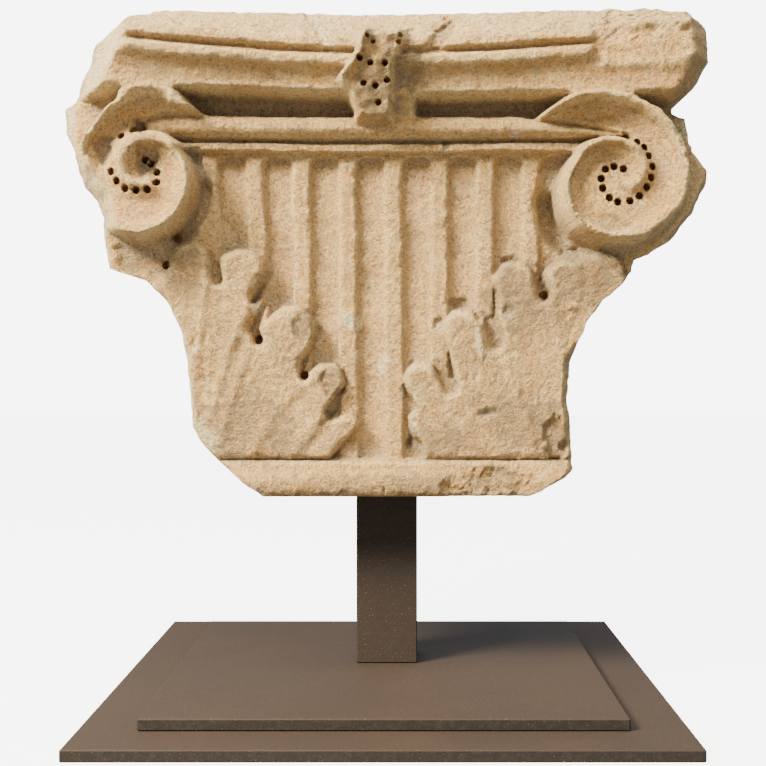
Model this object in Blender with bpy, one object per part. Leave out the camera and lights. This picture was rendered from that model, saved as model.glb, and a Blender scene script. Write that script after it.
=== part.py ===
"""A worn corinthian pilaster capital of carved stone, held up by a steel post on two square plates.

Sizes are in millimetres. The stand's foot is centred on the origin and lies on the floor at z = 0.
The stone is laid out on its own axes: x across its face, h up from its underside, and forward of the
stand's middle towards the viewer.
"""

import bmesh
import bpy
import numpy as np

MM = 0.001
GAP = 0.3

# Stand
BASE_SIDE = 600.0
BASE_THICKNESS = 12.0
UPPER_INSET = 60.0
UPPER_THICKNESS = 12.0
POST_SIDE = 70.0
POST_HEIGHT = 199.3
POST_BACK_SET = 28.5
PLATE_BEVEL = 1.2

# Stone block
HEIGHT = 520.0
BACK_DEPTH = 100.0
BELL_HEIGHT = 376.0
BELL_FOOT_FORWARD = 65.0
BELL_LIP_FORWARD = 90.0
RECESS_FORWARD = 86.0
ABACUS_FORWARD = 132.0
ABACUS_BOW_LEFT = 10.0
ABACUS_BOW_RIGHT = 6.0
ABACUS_BOW_SPAN = 230.0
ABACUS_RUINED_FROM = 212.0

# Roll and fillet at the foot
ROLL_HEIGHT = 34.0
ROLL_WIDEST = 12.0
ROLL_UNDERCUT = 17.0
ROLL_OUT = 22.0
FILLET_HEIGHT = 5.0
FILLET_OUT = 12.0

# Flutes
FLUTE_COUNT = 8
FLUTE_PITCH = 50.0
FLUTE_WIDTH = 31.0
FLUTE_DEPTH = 10.0
FLUTE_FIRST = -167.0
FLUTE_FOOT_GAP = 3.0
FLUTE_HEAD_GAP = 5.0
FLUTE_HEAD_ROUND = 9.0
FLUTE_WALL = 3.5

# Leaves
LEAF_RISE = 9.0
LEAF_EDGE = 4.5
LOBE_MERGE = 5.0
RIB_RISE = 3.4
RIB_WIDTH = 7.0
SLOT_FLOOR = 3.0

# Volutes
VOLUTE_FORWARD = 128.0
VOLUTE_DISH = 9.0
VOLUTE_WALL = 5.0

# Fleuron
LEDGE_RISE = 9.0
LEDGE_WIDTH = 6.0
SCAR_WIDTH = 24.0
SCAR_DROP = 26.0
FLEURON_WALL = 6.0

# Mesh
COLUMNS = 236
ROWS = 178
SIDE_ROWS = 5
FACE_SHARE = 0.054
SEED = 7

# Outline of the worn block: height up the stone, then the place of its edge across the face
LEFT_EDGE = ((0, -138), (12, -156), (34, -181), (54, -203), (76, -216), (115, -218), (150, -221),
             (186, -229), (216, -243), (237, -265), (250, -305), (276, -311), (308, -314), (326, -321),
             (340, -333), (357, -341), (383, -346), (404, -357), (425, -362), (433, -352), (456, -342),
             (473, -334), (491, -330), (501, -319), (510, -288), (520, -268))
RIGHT_EDGE = ((0, 161), (4, 173), (19, 199), (28, 208), (83, 206), (107, 203), (129, 205), (147, 206),
              (169, 212), (192, 222), (215, 239), (233, 261), (246, 270), (262, 274), (266, 290),
              (281, 315), (312, 340), (344, 354), (358, 353), (376, 334), (403, 329), (413, 327),
              (419, 315), (424, 313), (441, 333), (457, 350), (474, 349), (494, 347), (512, 343),
              (520, 337))
TOP_EDGE = ((-260, 518), (-220, 520), (-150, 519), (-90, 519), (-43, 515), (60, 517), (150, 520),
            (269, 520), (310, 518), (340, 514))

# How far forward the face still is where it breaks off at the side, and how steeply it falls to it:
# height up the stone, forward at the edge, fall for each millimetre across
LEFT_BREAK = ((0, 68, 4.0), (60, 58, 3.0), (170, 62, 3.0), (240, 72, 3.5), (300, 62, 2.6), (325, 60, 2.2),
              (345, 62, 2.0), (365, 62, 3.0), (380, 60, 3.7), (400, 58, 1.7), (430, 36, 2.0),
              (496, 34, 2.0), (520, 80, 2.0))
RIGHT_BREAK = ((0, 62, 3.0), (60, 46, 3.2), (150, 46, 3.2), (175, 78, 4.0), (245, 78, 3.0), (285, 58, 1.9),
               (335, 58, 3.0), (372, 86, 3.0), (405, 104, 5.0), (420, 70, 5.0), (440, 96, 2.2),
               (520, 92, 1.8))

# Larger chips: place across and up, half width, half height, depth
CHIPS = ((-93, 184, 17, 21, 4), (-57, 128, 14, 17, 4), (190, 63, 14, 26, 6), (318, 400, 14, 22, 4),
         (-258, 399, 9, 7, 12), (-300, 374, 10, 13, 5), (139, 260, 16, 5, 4), (66, 380, 4, 8, 4),
         (-211, 367, 13, 9, 4), (214, 268, 20, 7, 4), (120, 18, 34, 13, 3))

# Bands under the recess: height up the stone, forward; and how much lower the upper edge of the convex
# band lies where it runs out at each end: place across, drop
BANDS = ((371.5, 60), (374, 94), (375.5, 101), (383, 102), (385, 94), (387, 93), (389.5, 107), (393, 113),
         (398, 116.5), (404, 116), (409, 112), (412, 105), (414, 86))
BAND_FOOT = 388.0
BAND_CREST = 412.0
BAND_ENDS = ((-268, 22), (-262, 14), (-254, 6), (-240, 1), (-220, 0), (140, 0), (165, 5), (200, 11),
             (235, 17), (262, 22))

# Abacus from its lower edge to its broken top: height up the stone, forward of its own lower edge
ABACUS = ((427, -46), (428.5, -2), (430, 1), (440, 2), (448, 5), (453, 10), (455.5, 12), (457.5, 20),
          (468, 21), (470, 13), (473, 12), (476, 22), (484, 20), (496, 10), (508, 0), (520, -12))

# Fleuron on the abacus: height up the stone, its left edge, its right edge, forward
FLEURON = ((402, -33, 12, 138), (417, -36, 12, 146), (430, -45, 13, 152), (441, -54, 13, 158),
           (458, -41, 14, 166), (470, -33, 19, 172), (482, -31, 25, 176), (495, -26, 22, 168))

# Parts of the roll that are broken away: place across, depth lost
ROLL_LOST = ((-175, 9), (-160, 7), (-152, 0), (60, 0), (72, 8), (120, 11), (150, 8), (170, 3), (200, 7))

# Leaf lobes: root, tip, radius at the root, radius at the tip, rise at the tip
LEFT_LOBES = (
    ((-228, 30), (-232, 226), 46, 26, 12),
    ((-185, 30), (-100, 44), 44, 24, 9),
    ((-212, 130), (-213, 253), 44, 26, 17),
    ((-190, 110), (-159, 244), 46, 28, 19),
    ((-170, 110), (-142, 203), 38, 13, 15),
    ((-160, 80), (-104, 183), 40, 27, 19),
    ((-140, 70), (-99, 148), 32, 11, 14),
    ((-128, 56), (-66, 125), 36, 22, 18),
    ((-100, 40), (-42, 80), 28, 12, 12),
)
RIGHT_LOBES = (
    ((205, 50), (218, 180), 46, 44, 10),
    ((170, 40), (70, 50), 46, 30, 7),
    ((190, 120), (198, 234), 44, 27, 14),
    ((230, 150), (234, 236), 40, 32, 12),
    ((172, 110), (142, 236), 48, 23, 16),
    ((150, 110), (112, 184), 38, 13, 9),
    ((135, 80), (83, 184), 42, 21, 15),
    ((110, 60), (38, 129), 42, 19, 12),
    ((105, 50), (44, 80), 34, 20, 7),
)
# Slots between the lobes: drilled end, bend, open end, radius at each end
LEFT_SLOTS = (((-185, 238), (-187, 256), (-194, 284), 5.2, 4.5),
              ((-145, 214), (-135, 227), (-122, 245), 2.4, 3.0),
              ((-140, 172), (-145, 184), (-133, 212), 4.5, 2.5),
              ((-90, 133), (-90, 146), (-80, 160), 4.5, 2.5),
              ((-63, 91), (-54, 106), (-40, 122), 4.5, 3.0))
RIGHT_SLOTS = (((174, 221), (169, 240), (162, 262), 5.2, 3), ((121, 171), (117, 188), (112, 214), 8, 6),
               ((71, 121), (64, 134), (56, 152), 8, 7))
# Soft ribs that run down from the drilled ends: three points each
LEFT_RIBS = (((-196, 232), (-206, 170), (-214, 90)), ((-152, 208), (-172, 160), (-192, 90)),
             ((-148, 164), (-166, 120), (-184, 60)), ((-98, 126), (-122, 92), (-146, 48)),
             ((-70, 86), (-88, 64), (-104, 46)))
RIGHT_RIBS = (((182, 214), (192, 150), (198, 90)), ((128, 160), (146, 110), (162, 60)),
              ((82, 110), (106, 76), (130, 44)))

# Each volute: centre, the way it winds, its radius after each eighth of a turn from a quarter before its
# top, the width and rise of its rim by angle, how deep the crescent between rim and band is by angle,
# the angle where the rim starts, and width and depth of the gap beside it
LEFT_VOLUTE = ((-259, 352), -1, (128, 84, 77, 67, 66, 70, 70, 60, 50, 39, 29, 24, 20, 18, 17, 16),
               ((-62, 6, 5), (-40, 10, 10), (0, 10, 12), (45, 11, 9), (180, 10, 7), (240, 10, 9),
                (300, 11, 9), (330, 14, 9), (360, 18, 11), (405, 20, 11), (450, 17, 10), (540, 9, 8),
                (585, 6, 5)),
               ((-180, 0), (-62, 0), (-52, 14), (-30, 17), (0, 15), (30, 9), (60, 5), (90, 0)),
               -62.0, 15.0, 12.0)
RIGHT_VOLUTE = ((249.8, 339.6), 1, (129, 106, 86, 77, 70, 65, 61.5, 65.7, 60, 50, 40, 31, 18, 6),
                ((-56, 6, 5), (-40, 10, 10), (0, 12, 12), (30, 16, 10), (60, 16, 4), (120, 12, 0),
                 (180, 10, 0), (205, 10, 6), (240, 12, 12), (330, 10, 11), (400, 9, 8), (450, 10, 6),
                 (495, 8, 2)),
                ((-180, 0), (-60, 0), (-48, 16), (-25, 22), (0, 18), (30, 10), (60, 4), (90, 0)),
                -55.0, 26.0, 18.0)


def along(table, place, column=1):
    """Reads a column of a table of sizes at the places given."""
    rows = np.array(table, dtype=float)
    return np.interp(place, rows[:, 0], rows[:, column])


def ease(start, end, value):
    """Rises smoothly from 0 at start to 1 at end."""
    share = np.clip((value - start) / (end - start), 0.0, 1.0)
    return share * share * (3.0 - 2.0 * share)


def blended_max(first, second, width):
    """The larger of two surfaces, rounded where they meet."""
    share = np.clip(0.5 + 0.5 * (first - second) / width, 0.0, 1.0)
    return second + (first - second) * share + width * share * (1.0 - share)


def from_segment(x, h, start, end):
    """Distance from a straight line, and the share of its length that lies nearest."""
    run, climb = end[0] - start[0], end[1] - start[1]
    share = np.clip(((x - start[0]) * run + (h - start[1]) * climb) / (run * run + climb * climb), 0, 1)
    return np.hypot(x - start[0] - share * run, h - start[1] - share * climb), share


def roughness(x, h, size, seed):
    """Smooth random unevenness between -1 and 1, with bumps about as wide as size."""
    cells = 64
    lattice = np.random.default_rng(seed).uniform(-1.0, 1.0, (cells, cells))
    u, v = x / size, h / size
    i, j = np.floor(u).astype(int), np.floor(v).astype(int)
    s, t = ease(0.0, 1.0, u - i), ease(0.0, 1.0, v - j)
    low = lattice[i % cells, j % cells] * (1 - s) + lattice[(i + 1) % cells, j % cells] * s
    high = lattice[i % cells, (j + 1) % cells] * (1 - s) + lattice[(i + 1) % cells, (j + 1) % cells] * s
    return low * (1 - t) + high * t


def bell_face(h):
    """The plain face of the bell, which leans forward to its lip."""
    share = np.clip(h / BELL_HEIGHT, 0.0, 1.0)
    return BELL_FOOT_FORWARD + (BELL_LIP_FORWARD - BELL_FOOT_FORWARD) * share ** 2


def fluted_bell(x, h):
    """The bell with its row of flutes, each hollow in section and rounded at the head."""
    surface = bell_face(h)
    half = FLUTE_WIDTH / 2
    foot = ROLL_HEIGHT + FILLET_HEIGHT + FLUTE_FOOT_GAP
    over = np.clip(h - (BELL_HEIGHT - FLUTE_HEAD_GAP - FLUTE_HEAD_ROUND), 0.0, None)
    for number in range(FLUTE_COUNT):
        from_middle = np.abs(x - FLUTE_FIRST - number * FLUTE_PITCH)
        beside = np.clip(from_middle - half + FLUTE_HEAD_ROUND, 0.0, None)
        inset = np.clip((FLUTE_HEAD_ROUND - np.hypot(beside, over)) / FLUTE_WALL, 0.0, 1.0)
        bowl = 1.0 - np.clip(from_middle / half, 0.0, 1.0) ** 2
        cut = FLUTE_DEPTH * np.sqrt(1.0 - (1.0 - inset) ** 2) * (0.7 + 0.3 * bowl)
        surface = surface - np.where(h < foot, 0.0, cut)
    return surface


def add_leaf(x, h, surface, lobes, slots, ribs):
    """Lays one leaf over the bell: a slab of lobes with rounded edges, its ribs and its drilled slots."""
    ground = bell_face(h)
    inset = np.full_like(x, -BACK_DEPTH)
    rise = np.full_like(x, LEAF_RISE)
    for root, tip, root_radius, tip_radius, tip_rise in lobes:
        distance, share = from_segment(x, h, root, tip)
        own = root_radius + (tip_radius - root_radius) * share - distance
        weight = np.clip(0.5 + 0.5 * (own - inset) / LOBE_MERGE, 0.0, 1.0)
        rise = rise + (LEAF_RISE + (tip_rise - LEAF_RISE) * share ** 1.5 - rise) * weight
        inset = blended_max(inset, own, LOBE_MERGE)
    slotted = inset
    for start, bend, end, start_radius, end_radius in slots:
        middle_radius = (start_radius + end_radius) / 2
        first, share = from_segment(x, h, start, bend)
        second, rest = from_segment(x, h, bend, end)
        first = first - start_radius - (middle_radius - start_radius) * share
        second = second - middle_radius - (end_radius - middle_radius) * rest
        slotted = np.minimum(slotted, np.minimum(first, second))
    rounded = np.sqrt(1.0 - (1.0 - np.clip(slotted / LEAF_EDGE, 0.0, 1.0)) ** 2)
    for start, middle, end in ribs:
        distance = np.minimum(from_segment(x, h, start, middle)[0], from_segment(x, h, middle, end)[0])
        rise = rise + RIB_RISE * np.exp(-(distance / RIB_WIDTH) ** 2)
    bed = ground - SLOT_FLOOR
    raised = np.where(slotted > 0.0, bed + (rise + SLOT_FLOOR) * rounded, np.minimum(surface, bed))
    return np.where(inset > 0.0, raised, surface)


def add_bands(x, h, surface):
    """The bands that run between the volutes and taper into them, with the recess above."""
    surface = np.where(h > BANDS[-1][0], RECESS_FORWARD, surface)
    room = BAND_CREST - BAND_FOOT
    narrowed = np.clip(room - along(BAND_ENDS, x), 1.0, None)
    level = np.where(h > BAND_FOOT, BAND_FOOT + (h - BAND_FOOT) * room / narrowed, h)
    on_band = (x > BAND_ENDS[0][0]) & (x < BAND_ENDS[-1][0]) & (level > BANDS[0][0]) & (level <= BANDS[-1][0])
    return np.where(on_band, np.maximum(surface, along(BANDS, level)), surface)


def add_volute(x, h, surface, volute):
    """One volute: a raised rim that winds inward over a dished face, with the bands running into it."""
    (centre_x, centre_h), side, radii, rim, crescent, start, gap_width, gap_depth = volute
    across, up = (x - centre_x) * side, h - centre_h
    reach = np.hypot(across, up)
    turned = np.degrees(np.arctan2(across, up)) % 360.0
    signed = np.where(turned > 180.0, turned - 360.0, turned)
    eighths = np.arange(len(radii)) * 45.0 - 90.0
    ridge = np.zeros_like(reach)
    nearest = np.full_like(reach, BACK_DEPTH)
    outer = np.full_like(reach, -BACK_DEPTH)
    for turn in (-360.0, 0.0, 360.0):
        angle = turned + turn
        radius = np.interp(angle, eighths, radii)
        half = along(rim, angle) / 2
        wound = (angle > start) & (angle < eighths[-1])
        off = np.abs(reach - radius) / half
        profile = np.sqrt(np.clip(1.0 - off ** 2.4, 0.0, 1.0)) * along(rim, angle, 2)
        ridge = np.maximum(ridge, np.where(wound, profile, 0.0))
        nearest = np.minimum(nearest, np.where(wound, np.clip(off - 1.0, 0.0, None) * half, BACK_DEPTH))
        outer = np.maximum(outer, np.where(wound & (angle < 360.0), radius + half - reach, -BACK_DEPTH))
    ring = np.interp(signed + 360.0, eighths, radii) + along(rim, signed + 360.0) / 2
    sunk = along(crescent, signed) * ease(0.0, 9.0, reach - ring)
    level = VOLUTE_FORWARD - VOLUTE_DISH * ease(0.0, 16.0, nearest) - sunk * (ridge < 0.5) + ridge
    under = ease(-3.0, 3.0, BAND_CREST - along(BAND_ENDS, x) - h)
    under = under * ease(0.0, 4.0, reach - ring) * ease(20.0, 5.0, signed) * (signed > -100.0)
    inside = ease(0.0, VOLUTE_WALL, outer) * (1.0 - under)
    gap = ease(gap_width, gap_width * 0.55, -outer) * (outer < 0.0)
    surface = surface - gap_depth * gap * ease(-90.0, -105.0, signed) * ease(-168.0, -150.0, signed)
    return np.where(inside > 0.0, surface + (np.maximum(level, surface) - surface) * inside, surface)


def add_abacus(x, h, surface):
    """The moulded slab on top, which bows forward to its ends and breaks off at the right."""
    bow = np.where(x < 0.0, ABACUS_BOW_LEFT, ABACUS_BOW_RIGHT)
    bow = bow * np.clip(np.abs(x) / ABACUS_BOW_SPAN, 0.0, 1.25) ** 2
    courses = along(ABACUS, h)
    blunt = 10.0 - 18.0 * ease(486.0, 520.0, h) - 52.0 * ease(428.5, 427.0, h)
    blunt = blunt + 3.5 * roughness(x, h, 20.0, SEED + 2)
    courses = courses + (blunt - courses) * ease(0.0, 16.0, x - ABACUS_RUINED_FROM) * ease(446.0, 452.0, h)
    face = ABACUS_FORWARD + bow + courses
    return np.where(h > ABACUS[0][0], np.maximum(surface, face), surface)


def add_fleuron(x, h, surface):
    """The broken flower in the middle of the abacus, with a lit ledge at its left and a scar at its right."""
    left, right, forward = along(FLEURON, h, 1), along(FLEURON, h, 2), along(FLEURON, h, 3)
    level = np.minimum(h - FLEURON[0][0], FLEURON[-1][0] - h)
    scar = np.minimum(level, np.minimum(x - left, right + SCAR_WIDTH - x))
    surface = surface + np.maximum(forward - SCAR_DROP - surface, 0.0) * ease(0.0, FLEURON_WALL, scar)
    inward = np.minimum(level, np.minimum(x - left, right - x))
    ledge = LEDGE_RISE * np.exp(-((x - left - LEDGE_WIDTH) / LEDGE_WIDTH) ** 2) * ease(428.0, 440.0, h)
    return surface + np.maximum(forward + ledge - surface, 0.0) * ease(0.0, FLEURON_WALL, inward)


def add_roll(x, h, surface):
    """The roll at the foot with the small fillet over it; its ends are broken."""
    half = np.where(h < ROLL_WIDEST, ROLL_UNDERCUT, ROLL_HEIGHT - ROLL_WIDEST)
    swell = np.sqrt(np.clip(1.0 - ((h - ROLL_WIDEST) / half) ** 2, 0.0, 1.0))
    lost = along(ROLL_LOST, x)
    surface = np.where(h < ROLL_HEIGHT, BELL_FOOT_FORWARD + (ROLL_OUT - lost) * swell, surface)
    on_fillet = (h >= ROLL_WIDEST) & (h < ROLL_HEIGHT + FILLET_HEIGHT)
    fillet = BELL_FOOT_FORWARD + FILLET_OUT - lost * 0.4
    return np.where(on_fillet, np.maximum(surface, fillet), surface)


def break_sides(x, h, surface):
    """Chips the face, and lets it fall back to the broken edges at its two sides."""
    for middle_x, middle_h, reach_x, reach_h, depth in CHIPS:
        away = np.hypot((x - middle_x) / reach_x, (h - middle_h) / reach_h)
        surface = surface - depth * ease(1.15, 0.8, away)
    left_in = x - along(LEFT_EDGE, h)
    right_in = along(RIGHT_EDGE, h) - x
    rough = 2.0 * roughness(x, h, 18.0, SEED + 3)
    surface = np.minimum(surface, along(LEFT_BREAK, h) + left_in * along(LEFT_BREAK, h, 2) + rough)
    return np.minimum(surface, along(RIGHT_BREAK, h) + right_in * along(RIGHT_BREAK, h, 2) + rough)


def stone_front(x, h):
    """How far forward the worn face stands at each place."""
    surface = fluted_bell(x, h)
    surface = add_leaf(x, h, surface, LEFT_LOBES, LEFT_SLOTS, LEFT_RIBS)
    surface = add_leaf(x, h, surface, RIGHT_LOBES, RIGHT_SLOTS, RIGHT_RIBS)
    surface = add_bands(x, h, surface)
    surface = add_volute(x, h, surface, LEFT_VOLUTE)
    surface = add_volute(x, h, surface, RIGHT_VOLUTE)
    surface = add_abacus(x, h, surface)
    surface = add_fleuron(x, h, surface)
    surface = add_roll(x, h, surface)
    surface = surface + 1.6 * roughness(x, h, 38.0, SEED)
    surface = surface + ease(474.0, 492.0, h) * 4.0 * roughness(x, h, 17.0, SEED + 1)
    return break_sides(x, h, surface)


def coloured(name, colour, roughness_value, metallic):
    """A plain material."""
    material = bpy.data.materials.new(name)
    material.use_nodes = True
    shader = material.node_tree.nodes["Principled BSDF"]
    shader.inputs["Base Color"].default_value = (*colour, 1.0)
    shader.inputs["Roughness"].default_value = roughness_value
    shader.inputs["Metallic"].default_value = metallic
    material.diffuse_color = (*colour, 1.0)
    return material


def finished_object(name, bm, material, place):
    """Makes the object for one piece and puts it in its place."""
    mesh = bpy.data.meshes.new(name)
    bm.to_mesh(mesh)
    bm.free()
    mesh.materials.append(material)
    piece = bpy.data.objects.new(name, mesh)
    bpy.context.scene.collection.objects.link(piece)
    piece.location = [value * MM for value in place]
    return piece


def steel_block(name, width, depth, height, underside, middle_y, material):
    """A square-edged block of the stand, from its underside up."""
    bm = bmesh.new()
    bmesh.ops.create_cube(bm, size=1.0)
    bmesh.ops.scale(bm, vec=(width * MM, depth * MM, height * MM), verts=bm.verts)
    bmesh.ops.bevel(bm, geom=bm.edges[:], offset=PLATE_BEVEL * MM, offset_type="OFFSET", segments=1,
                    profile=0.5, affect="EDGES", material=-1)
    return finished_object(name, bm, material, (0.0, middle_y, underside + height / 2))


def carved_stone(name, underside, material):
    """The capital: a grid bent to the outline and pushed forward by the carving, closed at the back."""
    bm = bmesh.new()
    bmesh.ops.create_grid(bm, x_segments=COLUMNS, y_segments=ROWS, size=1.0)
    face = bmesh.ops.extrude_face_region(bm, geom=bm.faces[:], use_keep_orig=True)
    front = [item for item in face["geom"] if isinstance(item, bmesh.types.BMVert)]
    in_front = set(front)
    behind = [vert for vert in bm.verts if vert not in in_front]

    def placed(verts):
        across = np.array([vert.co.x for vert in verts]) * 0.5 + 0.5
        up = np.array([vert.co.y for vert in verts]) * 0.5 + 0.5
        h = up * HEIGHT
        for _ in range(3):
            left, right = along(LEFT_EDGE, h), along(RIGHT_EDGE, h)
            x = left + (right - left) * across
            h = up * along(TOP_EDGE, x)
        return x, h

    for verts, forward_of in ((front, stone_front), (behind, None)):
        x, h = placed(verts)
        forward = forward_of(x, h) if forward_of else np.full_like(x, -BACK_DEPTH)
        for vert, place_x, place_h, place_forward in zip(verts, x, h, forward):
            vert.co = (place_x * MM, -place_forward * MM, place_h * MM)
    walls = [edge for edge in bm.edges if (edge.verts[0] in in_front) != (edge.verts[1] in in_front)]
    bmesh.ops.subdivide_edges(bm, edges=walls, cuts=SIDE_ROWS, use_grid_fill=True)
    bmesh.ops.recalc_face_normals(bm, faces=bm.faces[:])
    bmesh.ops.triangulate(bm, faces=bm.faces[:])
    piece = finished_object(name, bm, material, (0.0, 0.0, underside))
    thinning = piece.modifiers.new("fewer faces", "DECIMATE")
    thinning.ratio = FACE_SHARE
    return piece


def build():
    """Builds the stand from the floor up, with the stone on its post."""
    for item in list(bpy.context.scene.objects):
        bpy.data.objects.remove(item, do_unlink=True)
    steel = coloured("rusted steel", (0.075, 0.045, 0.035), 0.7, 0.3)
    stone = coloured("carved stone", (0.52, 0.38, 0.25), 0.9, 0.0)
    upper_side = BASE_SIDE - 2 * UPPER_INSET
    upper_underside = BASE_THICKNESS + GAP
    post_underside = upper_underside + UPPER_THICKNESS + GAP
    stone_underside = post_underside + POST_HEIGHT + GAP
    steel_block("stand_base_plate", BASE_SIDE, BASE_SIDE, BASE_THICKNESS, 0.0, 0.0, steel)
    steel_block("stand_upper_plate", upper_side, upper_side, UPPER_THICKNESS, upper_underside, 0.0, steel)
    steel_block("stand_post", POST_SIDE, POST_SIDE, POST_HEIGHT, post_underside, POST_BACK_SET, steel)
    carved_stone("pilaster_capital", stone_underside, stone)


build()
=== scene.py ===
"""Looks of a worn corinthian pilaster capital on its rusted steel stand.

The carved stone is modelled again here as one fine mesh that keeps the form of its solid; the plates
and the post of the stand keep their solids and get their rusted finish. The stone is laid out in
millimetres on its own axes: x across its face, h up from its underside, forward towards the viewer.
"""

from __future__ import annotations

import logging
from dataclasses import dataclass, field
from enum import Enum
from functools import cached_property
from math import radians

import bmesh
import bpy
import numpy as np
from mathutils import Matrix, Vector


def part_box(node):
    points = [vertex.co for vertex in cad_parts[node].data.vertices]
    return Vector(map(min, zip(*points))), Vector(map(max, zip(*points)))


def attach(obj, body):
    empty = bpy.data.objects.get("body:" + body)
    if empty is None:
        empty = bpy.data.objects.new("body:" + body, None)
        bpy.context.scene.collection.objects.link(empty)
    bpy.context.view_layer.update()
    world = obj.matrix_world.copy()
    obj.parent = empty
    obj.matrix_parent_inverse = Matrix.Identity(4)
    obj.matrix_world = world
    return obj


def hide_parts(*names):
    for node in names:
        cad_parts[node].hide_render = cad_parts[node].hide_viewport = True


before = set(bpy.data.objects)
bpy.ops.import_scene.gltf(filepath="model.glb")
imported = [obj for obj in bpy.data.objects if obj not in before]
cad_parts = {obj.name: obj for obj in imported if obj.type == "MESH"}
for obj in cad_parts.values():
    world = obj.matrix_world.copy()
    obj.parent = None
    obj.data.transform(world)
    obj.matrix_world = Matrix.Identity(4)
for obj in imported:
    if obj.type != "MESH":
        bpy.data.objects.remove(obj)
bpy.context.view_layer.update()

LOG = logging.getLogger("capital")
MM = 0.001
Point = tuple[float, float]
Triple = tuple[float, float, float]
Table = tuple[tuple[float, ...], ...]


def along(table: Table, place: np.ndarray, column: int = 1) -> np.ndarray:
    """Reads a column of a table of sizes at the places given.

    Args:
        table: Rows that start with a place, in rising order.
        place: Where the table is read.
        column: Which size of the row is wanted.

    Returns:
        The sizes, in between the rows along straight lines.
    """
    rows = np.array(table, dtype=float)
    return np.interp(place, rows[:, 0], rows[:, column])


def ease(start: float, end: float, value: np.ndarray) -> np.ndarray:
    """Rises smoothly from 0 at start to 1 at end.

    Args:
        start: Value that gives 0.
        end: Value that gives 1.
        value: What is eased.

    Returns:
        The share between 0 and 1.
    """
    share = np.clip((value - start) / (end - start), 0.0, 1.0)
    return share * share * (3.0 - 2.0 * share)


def blended_max(first: np.ndarray, second: np.ndarray, width: float) -> np.ndarray:
    """The larger of two surfaces, rounded where they meet.

    Args:
        first: One surface.
        second: The other surface.
        width: How far apart they are where the rounding starts.

    Returns:
        The joined surface.
    """
    share = np.clip(0.5 + 0.5 * (first - second) / width, 0.0, 1.0)
    return second + (first - second) * share + width * share * (1.0 - share)


def from_segment(x: np.ndarray, h: np.ndarray, start: Point, end: Point) -> tuple[np.ndarray, np.ndarray]:
    """Measures from a straight line on the face.

    Args:
        x: Places across the face.
        h: Places up the face.
        start: One end of the line.
        end: The other end.

    Returns:
        The distance, and the share of the line's length that lies nearest.
    """
    run, climb = end[0] - start[0], end[1] - start[1]
    share = np.clip(((x - start[0]) * run + (h - start[1]) * climb) / (run * run + climb * climb), 0, 1)
    return np.hypot(x - start[0] - share * run, h - start[1] - share * climb), share


def linked(bm: bmesh.types.BMesh, name: str) -> bpy.types.Object:
    """Makes an object of a mesh and puts it in the scene.

    Args:
        bm: The mesh, which is freed.
        name: The name of the object and of its mesh.

    Returns:
        The new object.
    """
    mesh = bpy.data.meshes.new(name)
    bm.to_mesh(mesh)
    bm.free()
    made = bpy.data.objects.new(name, mesh)
    bpy.context.scene.collection.objects.link(made)
    return made


def unevenness(x: np.ndarray, h: np.ndarray, size: float, seed: int) -> np.ndarray:
    """Smooth random unevenness.

    Args:
        x: Places one way.
        h: Places the other way.
        size: Width of a bump.
        seed: Which pattern is drawn.

    Returns:
        Values between -1 and 1.
    """
    cells = 64
    lattice = np.random.default_rng(seed).uniform(-1.0, 1.0, (cells, cells))
    u, v = x / size, h / size
    i, j = np.floor(u).astype(int), np.floor(v).astype(int)
    s, t = ease(0.0, 1.0, u - i), ease(0.0, 1.0, v - j)
    low = lattice[i % cells, j % cells] * (1 - s) + lattice[(i + 1) % cells, j % cells] * s
    high = lattice[i % cells, (j + 1) % cells] * (1 - s) + lattice[(i + 1) % cells, (j + 1) % cells] * s
    return low * (1 - t) + high * t


def rubble(x: np.ndarray, h: np.ndarray, size: float, seed: int) -> np.ndarray:
    """Broken, angular unevenness of four sizes.

    Args:
        x: Places one way.
        h: Places the other way.
        size: Width of the largest bump.
        seed: Which pattern is drawn.

    Returns:
        Values mostly between -1 and 1.
    """
    total = np.zeros_like(x)
    share = 0.55
    for octave in range(4):
        lean = 0.6 * octave
        turned_x = x * np.cos(lean) - h * np.sin(lean)
        turned_h = x * np.sin(lean) + h * np.cos(lean)
        total = total + share * (1.0 - 2.0 * np.abs(unevenness(turned_x, turned_h, size, seed + octave)))
        size, share = size * 0.52, share * 0.6
    return total


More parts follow.
